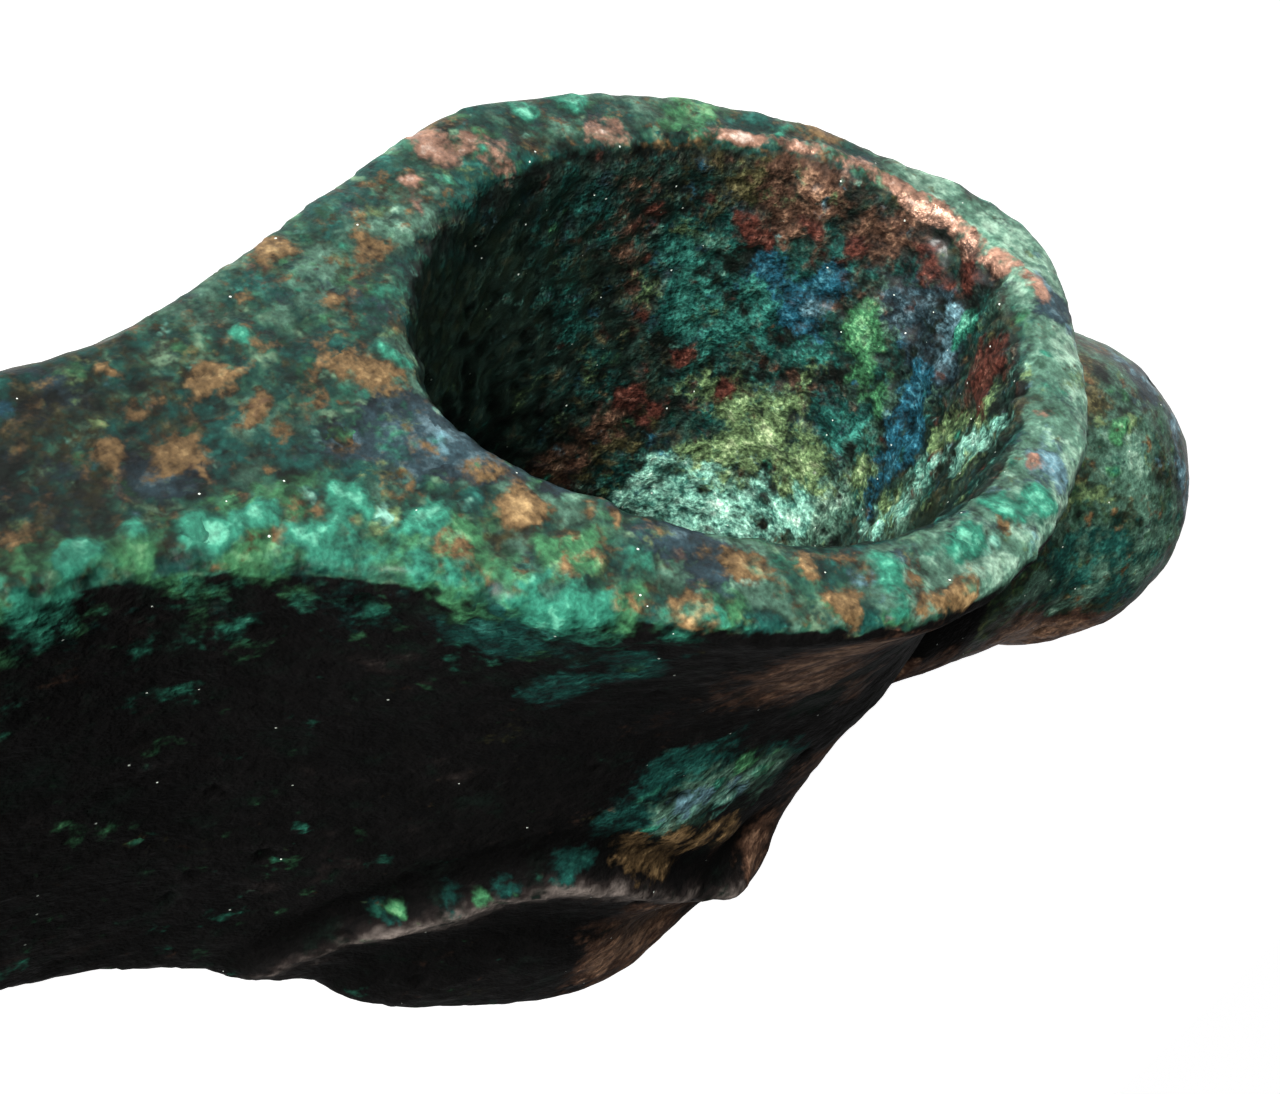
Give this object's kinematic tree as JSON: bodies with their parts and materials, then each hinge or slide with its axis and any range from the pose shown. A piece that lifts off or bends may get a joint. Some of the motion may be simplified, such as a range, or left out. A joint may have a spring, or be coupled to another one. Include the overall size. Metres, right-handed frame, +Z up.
{
  "type": "axe head",
  "caption": "Cast bronze shaft-hole axe head with a flared rim round an oval eye, a ball-ended butt knob and a flaring wedge blade, under green and brown patina.",
  "frame": {"origin": "centre of the footprint of the overall box, on the surface the head lies on", "axes": "+X from the knob toward the cutting edge, +Y along the eye from the wide rim to the narrow foot (the eye's axis dips 5 degrees), +Z up from the surface, through the thickness"},
  "size_m": [0.134, 0.0444, 0.0303],
  "materials": {
    "patinated_bronze": "matt green, blue-green and brown corrosion crust over cast bronze"
  },
  "bodies": {
    "root": {"axe_head": "patinated_bronze"}
  },
  "joints": []
}
